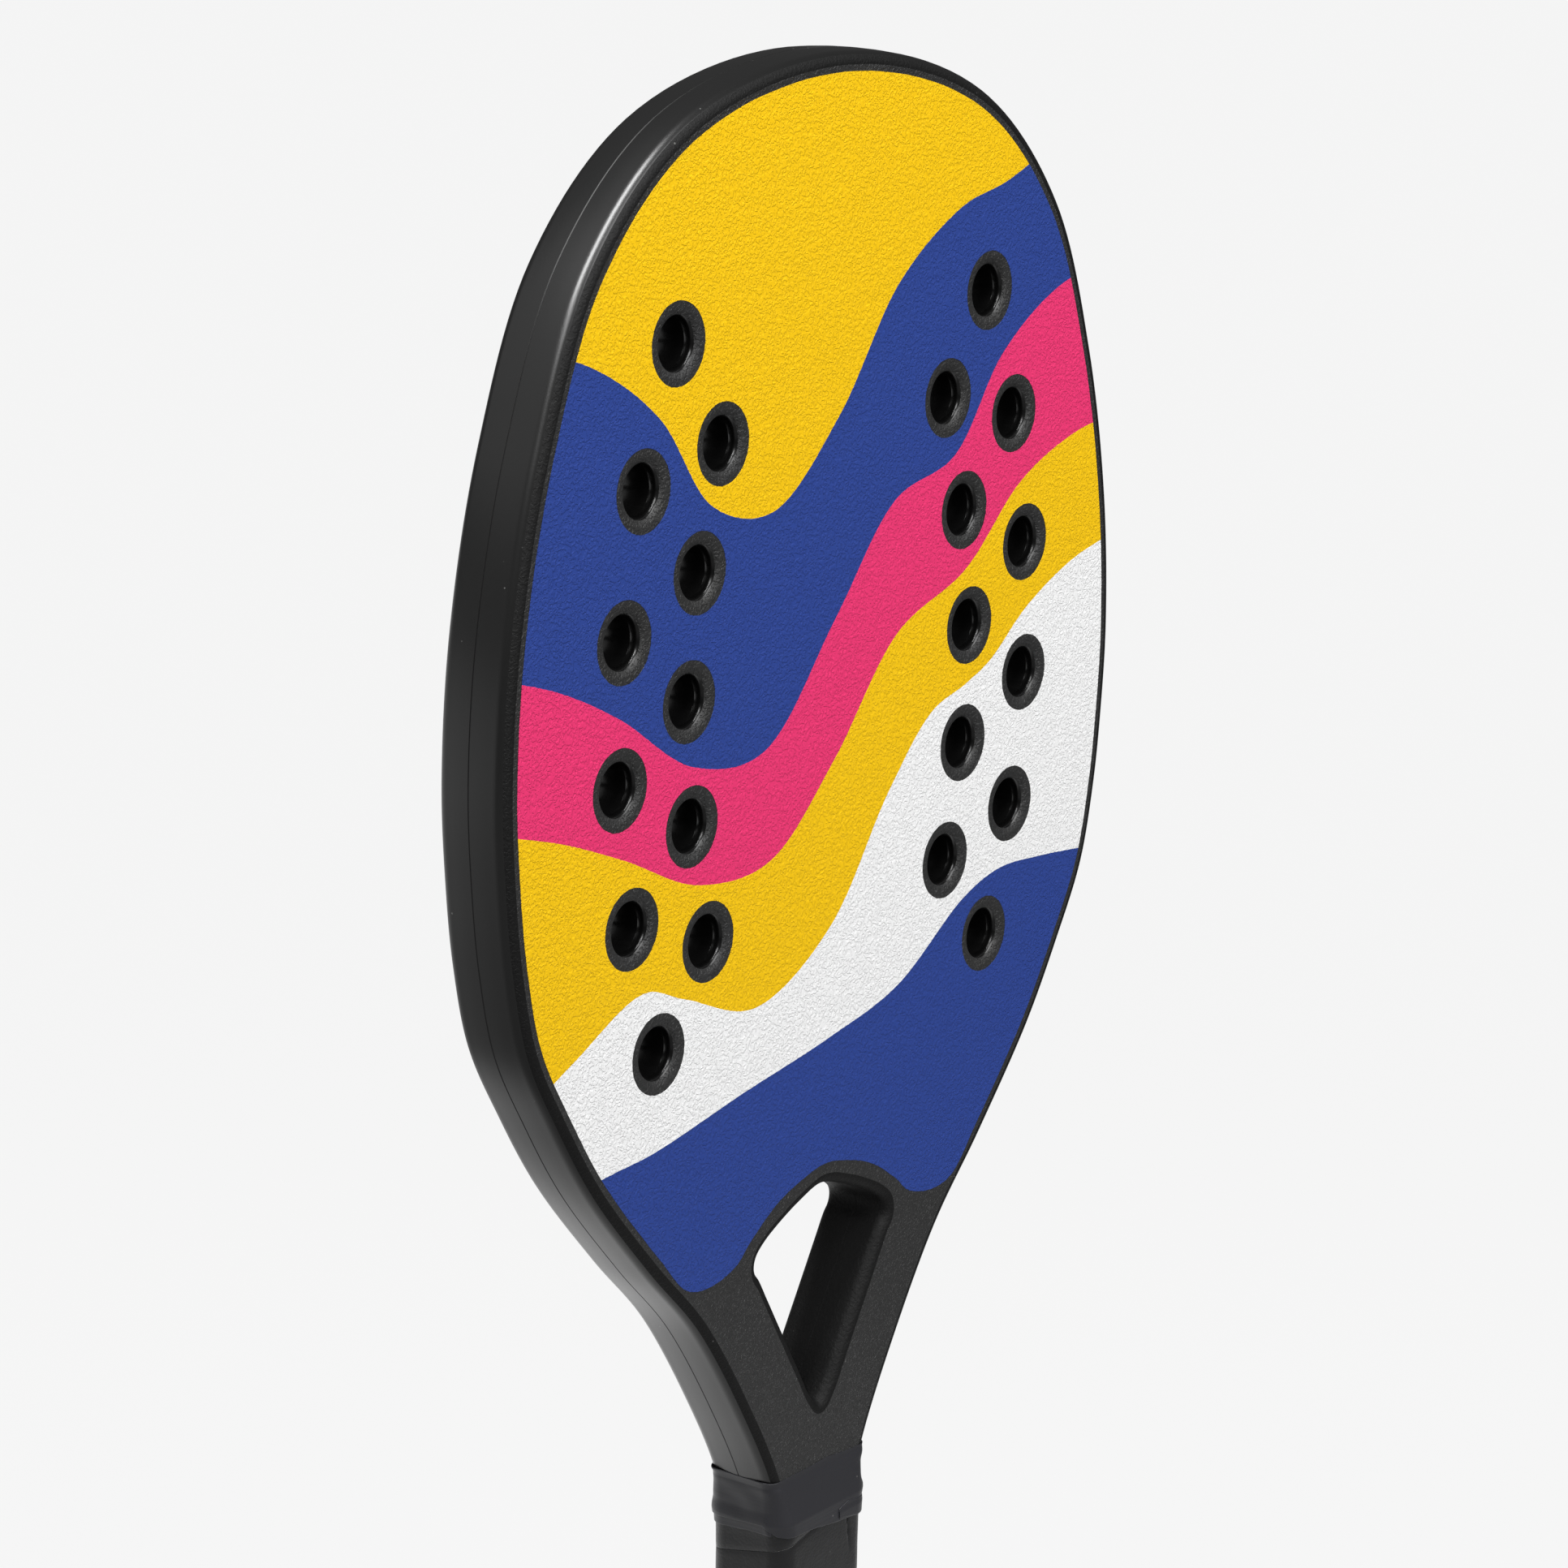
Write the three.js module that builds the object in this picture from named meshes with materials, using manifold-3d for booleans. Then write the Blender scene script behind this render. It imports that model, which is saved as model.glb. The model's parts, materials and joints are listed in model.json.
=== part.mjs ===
// Beach tennis racket: two moulded half shells round foam cores, printed faces, wound grip, butt cap.
// Millimetres. +Z runs from the butt end to the top of the head, the front face looks towards -Y,
// and the origin is the centre of the butt end.
import * as THREE from 'three';
import { mergeVertices } from 'three/addons/utils/BufferGeometryUtils.js';
import Module from 'manifold-3d';

const wasm = await Module();
wasm.setup();

// Sizes of the whole racket
const racketLength = 500;
const frameThickness = 20;
const headHalfWidth = 125.8;
const handleLength = 142.6;
const neckHalfWidth = 21.2;
const handleHalfWidth = 15.9;
const neckFlareLength = 26;

// Sizes of the moulded half shells
const edgeRadius = 3.3;
const wallDraft = 0.15;
const faceSkin = 1.5;
const sideWall = 3;
const cavityChamfer = 3;

// Sizes of the throat opening
const throatHalfWidth = 27.5;
const throatHeight = 58.2;
const throatAboveNeck = 16;
const throatEdgeRadius = 3;

// Sizes of the holes through the head
const boreRadius = 6.2;
const lipWidth = 2.8;
const ringLand = 1;
const coreBoreRelief = 0.2;

// Sizes of the foam cores
const bondGap = 0.3;
const coreJointBelowNeck = 6;

// Sizes of the printed faces
const printThickness = 0.2;
const printMargin = 1.8;
const printArchGap = 2.9;
const lobeDrop = 19.5;
const inkGap = 0.4;

// Sizes of the wound grip
const fitGap = 0.3;
const tapeThickness = 1.9;
const tapeWidth = 23.4;
const tapePitch = 24;
const tapeEdge = 0.8;

// Sizes of the butt cap
const flangeHeight = 11;
const flangeFlare = 3.2;
const plugLength = 18;
const plugClearance = 0.3;
const plugCorner = 5;
const capEndWall = 5;
const cordHoleRadius = 4;
const cordPocketRadius = 5.8;

// Sizes of the finishing band
const bandWidth = 15.6;
const bandThickness = 0.9;
const bandOverlap = 3.4;
const bandStep = 3;
const bandEdge = 0.5;

// One overrun serves all cuts
const overrun = 1;

// Finish of each material: colour, roughness, metalness
const finishes = {
  shell: [0x343434, 0.6, 0],
  foam: [0x1c1c1e, 0.95, 0],
  handleFoam: [0xcdb98a, 0.9, 0],
  blue: [0x333f8e, 0.55, 0],
  white: [0xe6e6e6, 0.55, 0],
  yellow: [0xf5c81c, 0.55, 0],
  pink: [0xe93d75, 0.55, 0],
  grip: [0x2b2b2c, 0.55, 0],
  band: [0x3b3b3d, 0.5, 0],
  cap: [0x202021, 0.5, 0],
};

// Right half of the head's outline from the neck up: shares of its half width and its length
const headShares = [
  [0.25, 0.0532], [0.407, 0.1366], [0.562, 0.194], [0.735, 0.264], [0.842, 0.321],
  [0.928, 0.376], [0.9695, 0.433], [0.99, 0.4885], [1, 0.5585], [0.976, 0.6565],
  [0.899, 0.7685], [0.756, 0.8805], [0.4805, 0.9644],
];

// Right half of the throat opening from its foot up: shares of its half width and its height
const throatShares = [
  [0, 0], [0.11, 0.05], [0.305, 0.205], [0.54, 0.39], [0.8, 0.597], [0.92, 0.692],
  [0.985, 0.73], [1, 0.762], [0.975, 0.796], [0.88, 0.836], [0.6975, 0.885], [0.344, 0.957], [0, 1],
];

// Right holes from the top pair down: shares of the head's half width and its length
const holeShares = [
  [0.504, 0.8228], [0.3666, 0.7521], [0.6032, 0.7315], [0.4333, 0.6696], [0.6564, 0.6356],
  [0.4619, 0.585], [0.6659, 0.5388], [0.4492, 0.4997], [0.6279, 0.4427], [0.3953, 0.4165],
  [0.5445, 0.3505],
];

// Hole's lip from the face down: shares of its width out from the bore and of the face skin
const lipShares = [[1, 0], [0.25, 0.37], [0, 1]];

// Print's arch over the throat: shares of the throat's half width and of the lobes' drop
const archShares = [[0, 0], [0.36, 0.09], [0.73, 0.27], [1.13, 0.63]];

// Print's lobe: shares of the way from the arch's end to the print's side, and of the lobes' drop
const lobeShares = [[0.16, 0.87], [0.48, 1], [0.72, 0.9]];

// Height at which a lobe runs into the print's side, as a share of the lobes' drop
const lobeJoinShare = 0.45;

// Inks of a printed face from the throat up
const inkNames = ['blue_lower', 'white', 'yellow_lower', 'pink', 'blue_upper', 'yellow_upper'];

// Wavy edges between the inks from the lowest up, each from left to right past the print's sides
// and between the holes: shares of the head's half width and its length
const inkEdgeShares = [
  [
    [-1.01, 0.235], [-0.779, 0.274], [-0.545, 0.283], [-0.278, 0.3], [0, 0.316], [0.238, 0.336],
    [0.465, 0.383], [0.592, 0.396], [0.755, 0.3945], [1.01, 0.386],
  ],
  [
    [-1.01, 0.33], [-0.795, 0.3665], [-0.592, 0.396], [-0.465, 0.382], [-0.238, 0.358], [0, 0.397],
    [0.191, 0.481], [0.334, 0.529], [0.453, 0.5425], [0.541, 0.555], [0.668, 0.5867], [0.835, 0.613],
    [1.01, 0.627],
  ],
  [
    [-1.01, 0.532], [-0.835, 0.515], [-0.652, 0.491], [-0.425, 0.458], [-0.199, 0.459], [0, 0.515],
    [0.207, 0.593], [0.445, 0.627], [0.636, 0.681], [0.835, 0.708], [1.01, 0.716],
  ],
  [
    [-1.01, 0.632], [-0.835, 0.613], [-0.668, 0.586], [-0.445, 0.54], [-0.223, 0.537], [0, 0.616],
    [0.191, 0.688], [0.397, 0.711], [0.556, 0.776], [0.755, 0.817], [1.01, 0.834],
  ],
  [
    [-1.01, 0.839], [-0.755, 0.817], [-0.556, 0.776], [-0.397, 0.712], [-0.207, 0.6995], [0, 0.7555],
    [0.191, 0.839], [0.397, 0.884], [0.556, 0.898], [0.755, 0.923], [1.01, 0.94],
  ],
];

// Flange of the butt cap from its foot up: shares of its flare and of its height
const flangeShares = [[0.19, 0], [0.76, 0.07], [1, 0.24], [0.9, 0.5], [0.25, 0.8], [0, 1]];

// Counts of flat facets
const outlineSteps = 3;
const throatSteps = 2;
const archSteps = 2;
const edgeSteps = 3;
const holeSides = 12;
const cornerSteps = 4;
const waveSteps = 3;

// Values worked out from the sizes
const faceHeight = frameThickness / 2;
const headLength = racketLength - handleLength;
const throatFoot = handleLength + throatAboveNeck;
const ringRadius = boreRadius + lipWidth + ringLand;
const shellFoot = flangeHeight + fitGap;
const plugTop = flangeHeight + plugLength;
const coreJoint = handleLength - coreJointBelowNeck;
const bandFoot = handleLength - bandWidth;
const tapeTop = bandFoot + bandOverlap;
const gripReach = fitGap + tapeThickness;
const stepsPerTurn = 4 * (cornerSteps + 2);

// The head's pieces are drawn flat: x across, y along the racket, z out of the middle plane.

// Knots of a spline as the points of an outline
function splinePoints(knots, steps, closed = false) {
  const curve = new THREE.CatmullRomCurve3(knots.map(([x, y]) => new THREE.Vector3(x, y, 0)), closed);
  const spans = closed ? knots.length : knots.length - 1;
  const points = curve.getPoints(spans * steps).map((p) => new THREE.Vector2(p.x, p.y));
  return closed ? points.slice(0, -1) : points;
}

// Knots of the right half followed by their mirror image
function bothSides(half) {
  return [...half, ...half.slice(0, -1).reverse().map(([x, y]) => [-x, y])];
}

// Outline of the frame, anticlockwise from the right foot of the handle
function frameOutline() {
  const neck = [
    [handleHalfWidth, handleLength - neckFlareLength],
    [(handleHalfWidth * 6 + neckHalfWidth) / 7, handleLength - neckFlareLength / 2],
    [neckHalfWidth, handleLength],
  ];
  const head = headShares.map(([x, y]) => [x * headHalfWidth, handleLength + y * headLength]);
  const foot = shellFoot - sideWall - cavityChamfer - bondGap - overrun;
  return [
    new THREE.Vector2(handleHalfWidth, foot),
    ...splinePoints(bothSides([...neck, ...head, [0, racketLength]]), outlineSteps),
    new THREE.Vector2(-handleHalfWidth, foot),
  ];
}

const frameEdge = frameOutline();

// Outline of the throat opening's wall, anticlockwise from its foot
function throatOutline() {
  const half = throatShares.map(([x, y]) => [x * throatHalfWidth, throatFoot + y * throatHeight]);
  return splinePoints(bothSides(half).slice(0, -1), throatSteps, true);
}

const throatEdge = throatOutline();

// Points of a circle, anticlockwise, as far outside their facets' middles as the circle is inside
function circle([x, y], radius, sides = holeSides) {
  const reach = radius / Math.cos(Math.PI / sides / 2);
  return Array.from({ length: sides }, (_, i) => {
    const turn = (2 * Math.PI * i) / sides;
    return new THREE.Vector2(x + reach * Math.cos(turn), y + reach * Math.sin(turn));
  });
}

// Centres of all the holes
function holeCentres() {
  const right = holeShares.map(([x, y]) => [x * headHalfWidth, handleLength + y * headLength]);
  return [...right, ...right.map(([x, y]) => [-x, y])];
}

// Moves that carry each corner of a closed outline outwards by one from both its sides
function mitres(points) {
  const normal = (a, b) => new THREE.Vector2(b.y - a.y, a.x - b.x).normalize();
  return points.map((point, i) => {
    const before = normal(points.at(i - 1), point);
    const after = normal(point, points[(i + 1) % points.length]);
    return before.clone().add(after).divideScalar(1 + before.dot(after));
  });
}

// A closed outline moved outwards by a distance
function grow(points, distance) {
  const moves = mitres(points);
  return points.map((point, i) => point.clone().addScaledVector(moves[i], distance));
}

// An outline lifted to a height
function ring(points, height) {
  return points.map((p) => new THREE.Vector3(p.x, p.y, height));
}

// Quads between rings that follow each other, facing outwards where the rings climb
function addBands(triangles, rings) {
  rings.slice(1).forEach((high, k) => {
    rings[k].forEach((corner, i) => {
      const next = (i + 1) % high.length;
      triangles.push(corner, rings[k][next], high[next], corner, high[next], high[i]);
    });
  });
}

// A flat face inside one ring and round the others, facing up or down
function addFace(triangles, outer, inner, up) {
  const flat = (points) => points.map((p) => new THREE.Vector2(p.x, p.y));
  const all = [outer, ...inner].flat();
  THREE.ShapeUtils.triangulateShape(flat(outer), inner.map(flat)).forEach((face) => {
    const [a, b, c] = face.map((index) => all[index]);
    const turn = (b.x - a.x) * (c.y - a.y) - (b.y - a.y) * (c.x - a.x);
    triangles.push(...((turn > 0) === up ? [a, b, c] : [a, c, b]));
  });
}

// A solid that can be cut, from a geometry or a list of triangle corners
function solidOf(shape) {
  const bare = Array.isArray(shape) ? new THREE.BufferGeometry().setFromPoints(shape) : shape.clone();
  bare.deleteAttribute('normal');
  bare.deleteAttribute('uv');
  const merged = mergeVertices(bare);
  const vertProperties = new Float32Array(merged.attributes.position.array);
  const triVerts = new Uint32Array(merged.index.array);
  return new wasm.Manifold(new wasm.Mesh({ numProp: 3, vertProperties, triVerts }));
}

// A solid back as a geometry
function geometryOf(solid) {
  const { vertProperties, triVerts } = solid.getMesh();
  const geometry = new THREE.BufferGeometry();
  geometry.setAttribute('position', new THREE.BufferAttribute(vertProperties, 3));
  geometry.setIndex(new THREE.BufferAttribute(triVerts, 1));
  return geometry;
}

// A block round all of the flat racket between two places along its length
function lengthBlock(from, to) {
  const [width, depth] = [headHalfWidth * 2 + overrun * 2, frameThickness + overrun * 2];
  return solidOf(new THREE.BoxGeometry(width, to - from, depth).translate(0, (from + to) / 2, 0));
}

// Rings of a wall with a rounded upper edge, from the middle plane to the face
function edgeRings(outline, outwards, draft, radius) {
  const rings = Array.from({ length: edgeSteps + 1 }, (_, step) => {
    const turn = (Math.PI / 2) * (step / edgeSteps);
    const inset = draft + radius * (1 - Math.cos(turn));
    return ring(grow(outline, outwards * inset), faceHeight - radius * (1 - Math.sin(turn)));
  });
  return [ring(outline, 0), ...rings];
}

// Rings of the shells' inside, chamfered under the rounded edge, from a face to the middle plane
function cavityRings(gap) {
  const height = faceHeight - faceSkin - gap;
  const wall = grow(frameEdge, -sideWall - gap);
  const shoulder = grow(frameEdge, -sideWall - gap - cavityChamfer);
  return [ring(shoulder, height), ring(wall, height - cavityChamfer), ring(wall, 0)];
}

// One half shell: face skin with lipped holes, side wall, throat wall, open at the middle plane
function halfShell() {
  const innerFace = faceHeight - faceSkin;
  const edge = [...cavityRings(0), ...edgeRings(frameEdge, -1, wallDraft, edgeRadius)];
  const throatWall = edgeRings(throatEdge, 1, 0, throatEdgeRadius).reverse();
  const throatCavity = grow(throatEdge, sideWall);
  const throat = [...throatWall, ring(throatCavity, 0), ring(throatCavity, innerFace)];
  const holes = holeCentres().map((centre) => lipShares.map(([out, down]) => (
    ring(circle(centre, boreRadius + lipWidth * out), faceHeight - faceSkin * down)
  )));
  const openings = [throat, ...holes];
  const triangles = [];
  [edge, ...openings].forEach((rings) => addBands(triangles, rings));
  addFace(triangles, edge.at(-1), openings.map((rings) => rings[0]), true);
  addFace(triangles, edge[0], openings.map((rings) => rings.at(-1)), false);
  return geometryOf(solidOf(triangles).intersect(lengthBlock(shellFoot, racketLength + overrun)));
}

// Foam that fills both shells between two places along the racket, bored through at the holes
function core(from, to) {
  const half = faceHeight - faceSkin - bondGap;
  const front = cavityRings(bondGap).slice(0, -1);
  const rear = front.map((points) => points.map((p) => p.clone().setZ(-p.z)));
  const openings = [
    grow(throatEdge, sideWall + bondGap),
    ...holeCentres().map((centre) => circle(centre, boreRadius + coreBoreRelief)),
  ];
  const triangles = [];
  addBands(triangles, [...rear, ...front.reverse()]);
  openings.forEach((points) => addBands(triangles, [ring(points, half), ring(points, -half)]));
  addFace(triangles, front.at(-1), openings.map((points) => ring(points, half)), true);
  addFace(triangles, rear[0], openings.map((points) => ring(points, -half)), false);
  return geometryOf(solidOf(triangles).intersect(lengthBlock(from, to)));
}

// Edge of the print: the frame's outline set in, closed by two lobes and the arch over the throat
function printOutline() {
  const archTop = throatFoot + throatHeight + throatEdgeRadius + printArchGap;
  const joinHeight = archTop - lobeJoinShare * lobeDrop;
  const inset = grow(frameEdge, -wallDraft - edgeRadius - printMargin);
  const sides = inset.filter((p) => p.y > joinHeight);
  const arch = archShares.map(([x, drop]) => [x * throatHalfWidth, archTop - drop * lobeDrop]);
  const archEnd = arch.at(-1)[0];
  const lobe = lobeShares.map(([x, drop]) => (
    [THREE.MathUtils.lerp(archEnd, sides[0].x, x), archTop - drop * lobeDrop]
  ));
  const right = [...arch, ...lobe, [sides[0].x, sides[0].y]].reverse();
  return [...splinePoints(bothSides(right), archSteps).reverse(), ...sides.slice(1, -1)];
}

// Print film on one face, open round each hole
function printFilm() {
  const shape = new THREE.Shape(printOutline());
  shape.holes = holeCentres().map((centre) => new THREE.Path(circle(centre, ringRadius)));
  const film = new THREE.ExtrudeGeometry(shape, { depth: printThickness, bevelEnabled: false });
  return solidOf(film.translate(0, 0, faceHeight));
}

// All of the flat head below one wavy edge that is moved up by a shift
function belowEdge(index, shift) {
  const foot = handleLength + shift;
  const knots = inkEdgeShares[index].map(([x, y]) => [x * headHalfWidth, foot + y * headLength]);
  const wave = splinePoints(knots, waveSteps);
  const feet = [wave.at(-1), wave[0]].map(({ x }) => new THREE.Vector2(x, foot));
  const settings = { depth: printThickness + overrun * 2, bevelEnabled: false };
  const below = new THREE.ExtrudeGeometry(new THREE.Shape([...wave, ...feet]), settings);
  return solidOf(below.translate(0, 0, faceHeight - overrun));
}

// One ink of a printed face: the film below the wavy edge over it, less what lies below its own
function inkPatch(film, index) {
  const closed = index === inkEdgeShares.length ? film : film.intersect(belowEdge(index, -inkGap / 2));
  return geometryOf(index === 0 ? closed : closed.subtract(belowEdge(index - 1, inkGap / 2)));
}

// The handle's pieces are drawn in place, upright.

// Half width of the frame at a height
function frameHalfWidthAt(z) {
  const upper = Math.max(frameEdge.findIndex((p) => p.y > z), 1);
  const [a, b] = [frameEdge[upper - 1], frameEdge[upper]];
  return THREE.MathUtils.mapLinear(Math.max(z, a.y), a.y, b.y, a.x, b.x);
}

// Points round a rectangle with round corners, anticlockwise, with a point half way along each side
function roundedRing(halfWidth, halfDepth, corner, z) {
  const [x, y] = [halfWidth - corner, halfDepth - corner];
  const centres = [[x, y], [-x, y], [-x, -y], [x, -y]];
  return centres.flatMap(([cx, cy], quarter) => {
    const arc = Array.from({ length: cornerSteps + 1 }, (_, i) => {
      const turn = (Math.PI / 2) * (quarter + i / cornerSteps);
      return new THREE.Vector3(cx + corner * Math.cos(turn), cy + corner * Math.sin(turn), z);
    });
    const [nx, ny] = centres[(quarter + 1) % 4];
    const turn = (Math.PI / 2) * (quarter + 1);
    const middle = [(cx + nx) / 2 + corner * Math.cos(turn), (cy + ny) / 2 + corner * Math.sin(turn)];
    return [...arc, new THREE.Vector3(...middle, z)];
  });
}

// Points round the handle at a height, out from its surface by a reach
function handleRing(reach, z) {
  return roundedRing(frameHalfWidthAt(z) + reach, faceHeight + reach, edgeRadius + reach, z);
}

// Closed solid from rings stacked upwards
function stack(rings) {
  const triangles = [];
  addBands(triangles, rings);
  addFace(triangles, rings[0], [], false);
  addFace(triangles, rings.at(-1), [], true);
  return solidOf(triangles);
}

// Upright cylinder between two heights
function post(radius, from, to) {
  const cylinder = new THREE.CylinderGeometry(radius, radius, to - from, holeSides);
  return solidOf(cylinder.rotateX(Math.PI / 2).translate(0, 0, (from + to) / 2));
}

// Butt cap: flared flange, plug that fits inside the shells, cord hole and knot pocket
function buttCap() {
  const flange = stack(flangeShares.map(([out, high]) => (
    handleRing(gripReach + flangeFlare * out, flangeHeight * high)
  )));
  const halfWidth = handleHalfWidth - sideWall - plugClearance;
  const halfDepth = faceHeight - faceSkin - plugClearance;
  const plug = stack([
    roundedRing(halfWidth, halfDepth, plugCorner, flangeHeight - overrun),
    roundedRing(halfWidth, halfDepth, plugCorner, plugTop),
  ]);
  const hole = post(cordHoleRadius, -overrun, capEndWall + overrun);
  const pocket = post(cordPocketRadius, capEndWall, plugTop + overrun);
  return geometryOf(flange.add(plug).subtract(hole).subtract(pocket));
}

// Rows of corners across the wound strip, close enough to follow the neck's flare
const stripRows = [-tapeWidth / 2 + tapeEdge, -tapeWidth / 6, tapeWidth / 6, tapeWidth / 2 - tapeEdge];

// Corners of the strip's section: place along the handle and reach out from it
const stripSection = [
  [-tapeWidth / 2, fitGap + tapeThickness / 2],
  ...stripRows.map((along) => [along, fitGap]),
  [tapeWidth / 2, fitGap + tapeThickness / 2],
  ...stripRows.toReversed().map((along) => [along, gripReach]),
];

// Sections of the strip along its helix, from below the cap's rim to above the tape's top
function stripSections() {
  const start = shellFoot - tapeWidth / 2;
  const turns = Math.ceil((tapeTop - shellFoot + tapeWidth) / tapePitch);
  return Array.from({ length: turns * stepsPerTurn + 1 }, (_, step) =>
    stripSection.map(([along, reach]) => {
      const z = start + (tapePitch * step) / stepsPerTurn + along;
      return handleRing(reach, z)[step % stepsPerTurn];
    }));
}

// Least distance between points of neighbouring turns of the strip
function leastGap(sections) {
  let least = Infinity;
  sections.forEach((section, i) => {
    sections.slice(i + stepsPerTurn / 2).forEach((other) => {
      section.forEach((a) => other.forEach((b) => {
        least = Math.min(least, a.distanceTo(b));
      }));
    });
  });
  return least;
}

// Grip tape: one strip wound up the handle, cut square at the cap and under the finishing band
function gripTape() {
  const sections = stripSections();
  console.log(`Least gap between turns of the grip tape: ${leastGap(sections).toFixed(2)} mm`);
  const triangles = [];
  addBands(triangles, sections);
  const fan = (section, turned) => section.slice(1, -1).forEach((b, i) => {
    triangles.push(section[0], ...(turned ? [section[i + 2], b] : [b, section[i + 2]]));
  });
  fan(sections[0], true);
  fan(sections.at(-1), false);
  const height = tapeTop - shellFoot;
  const keep = new THREE.BoxGeometry(headHalfWidth, headHalfWidth, height);
  keep.translate(0, 0, shellFoot + height / 2);
  return geometryOf(solidOf(triangles).intersect(solidOf(keep)));
}

// Finishing band: elastic ring over the neck, stepped out where it covers the top of the tape
function finishingBand() {
  const [overTape, stepTop, top] = [gripReach + fitGap, tapeTop + bandStep, handleLength];
  const rings = [
    handleRing(overTape, bandFoot),
    handleRing(overTape + bandThickness - bandEdge, bandFoot),
    handleRing(overTape + bandThickness, bandFoot + bandEdge),
    handleRing(overTape + bandThickness, tapeTop),
    handleRing(fitGap + bandThickness, stepTop),
    handleRing(fitGap + bandThickness, top - bandEdge),
    handleRing(fitGap + bandThickness - bandEdge, top),
    handleRing(fitGap, top),
    handleRing(fitGap, stepTop),
    handleRing(overTape, tapeTop + fitGap),
    handleRing(overTape, bandFoot),
  ];
  const triangles = [];
  addBands(triangles, rings);
  return geometryOf(solidOf(triangles));
}

// Flat pieces turned to face forwards, or backwards for the rear of the racket
const [across, back, up] = [[1, 0, 0], [0, 1, 0], [0, 0, 1]].map((axis) => new THREE.Vector3(...axis));
const toFront = new THREE.Matrix4().makeBasis(across, up, back.clone().negate());
const toRear = new THREE.Matrix4().makeBasis(across.clone().negate(), up, back);

const racket = new THREE.Group();

// A named piece in its finish
function addPiece(name, geometry, finish) {
  const [color, roughness, metalness] = finishes[finish];
  const piece = new THREE.Mesh(geometry, new THREE.MeshStandardMaterial({ color, roughness, metalness }));
  piece.name = name;
  racket.add(piece);
}

const film = printFilm();
[['front', toFront], ['rear', toRear]].forEach(([side, turn]) => {
  addPiece(`${side}_shell`, halfShell().applyMatrix4(turn), 'shell');
  inkNames.forEach((name, index) => {
    addPiece(`print_${side}_${name}`, inkPatch(film, index).applyMatrix4(turn), name.split('_')[0]);
  });
});
addPiece('head_core', core(coreJoint + bondGap, racketLength).applyMatrix4(toFront), 'foam');
addPiece('handle_core', core(plugTop + bondGap, coreJoint).applyMatrix4(toFront), 'handleFoam');
addPiece('butt_cap', buttCap(), 'cap');
addPiece('grip_tape', gripTape(), 'grip');
addPiece('finishing_band', finishingBand(), 'band');

export default racket;
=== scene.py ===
import json
import math

import bmesh
import bpy
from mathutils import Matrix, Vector, kdtree, noise

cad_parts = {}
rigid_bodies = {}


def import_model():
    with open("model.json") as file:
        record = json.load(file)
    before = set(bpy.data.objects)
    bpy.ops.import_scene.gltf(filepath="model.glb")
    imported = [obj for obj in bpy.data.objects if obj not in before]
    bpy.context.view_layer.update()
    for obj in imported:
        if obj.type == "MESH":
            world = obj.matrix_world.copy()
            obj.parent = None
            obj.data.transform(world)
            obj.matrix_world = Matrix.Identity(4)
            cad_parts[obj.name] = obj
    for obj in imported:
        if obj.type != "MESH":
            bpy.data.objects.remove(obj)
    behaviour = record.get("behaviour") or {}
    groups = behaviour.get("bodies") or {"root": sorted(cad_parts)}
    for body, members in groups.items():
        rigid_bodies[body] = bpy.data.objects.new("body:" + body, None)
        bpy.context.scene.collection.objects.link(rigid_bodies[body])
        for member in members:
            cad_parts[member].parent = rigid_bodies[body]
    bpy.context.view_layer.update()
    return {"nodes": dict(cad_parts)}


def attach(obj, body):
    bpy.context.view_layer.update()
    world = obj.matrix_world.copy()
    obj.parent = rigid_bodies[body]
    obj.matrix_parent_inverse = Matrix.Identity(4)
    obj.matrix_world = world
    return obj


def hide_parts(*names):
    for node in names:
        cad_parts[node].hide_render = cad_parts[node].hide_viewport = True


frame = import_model()

# Camera: a long lens a little above the racket's top, to the left of its front face.
# The racket stands upright on its butt end, and the view cuts its handle off under the neck.
bpy.ops.object.select_all(action="DESELECT")
bpy.ops.object.camera_add(
    location=(-0.86116, -0.63141, 0.58321),
    rotation=[math.radians(turn) for turn in (76.1153, -0.8897, -53.3195)],
)
camera = bpy.context.object
camera.data.lens = 101.996
bpy.context.scene.camera = camera

# Head core: closed-cell EVA foam that fills both half shells, cut from sheet and glued in.
# It is out of sight, since the moulded sleeves of the holes line it.
mm = 0.001
eva_cell, foam_patch = 1.2, 16.7
eva_black = "#1C1C1E"


def linear(colour):
    """The linear red, green, blue and alpha of an sRGB hex colour."""
    shares = [int(colour[i:i + 2], 16) / 255 for i in (1, 3, 5)]
    return [s / 12.92 if s <= 0.04045 else ((s + 0.055) / 1.055) ** 2.4 for s in shares] + [1]


def put(tree, kind, inputs=None, **settings):
    """Add one shader node, with its settings, and the values or links of its inputs."""
    node = tree.nodes.new("ShaderNode" + kind)
    for name, value in settings.items():
        setattr(node, name, value)
    for name, value in (inputs or {}).items():
        if isinstance(value, bpy.types.NodeSocket):
            tree.links.new(value, node.inputs[name])
        else:
            node.inputs[name].default_value = value
    return node


def new_finish(name):
    """A new material: its node tree, its main shader and the place of a point on the object."""
    material = bpy.data.materials.new(name)
    material.use_nodes = True
    tree = material.node_tree
    return material, tree, tree.nodes["Principled BSDF"], put(tree, "TexCoord").outputs["Object"]


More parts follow.
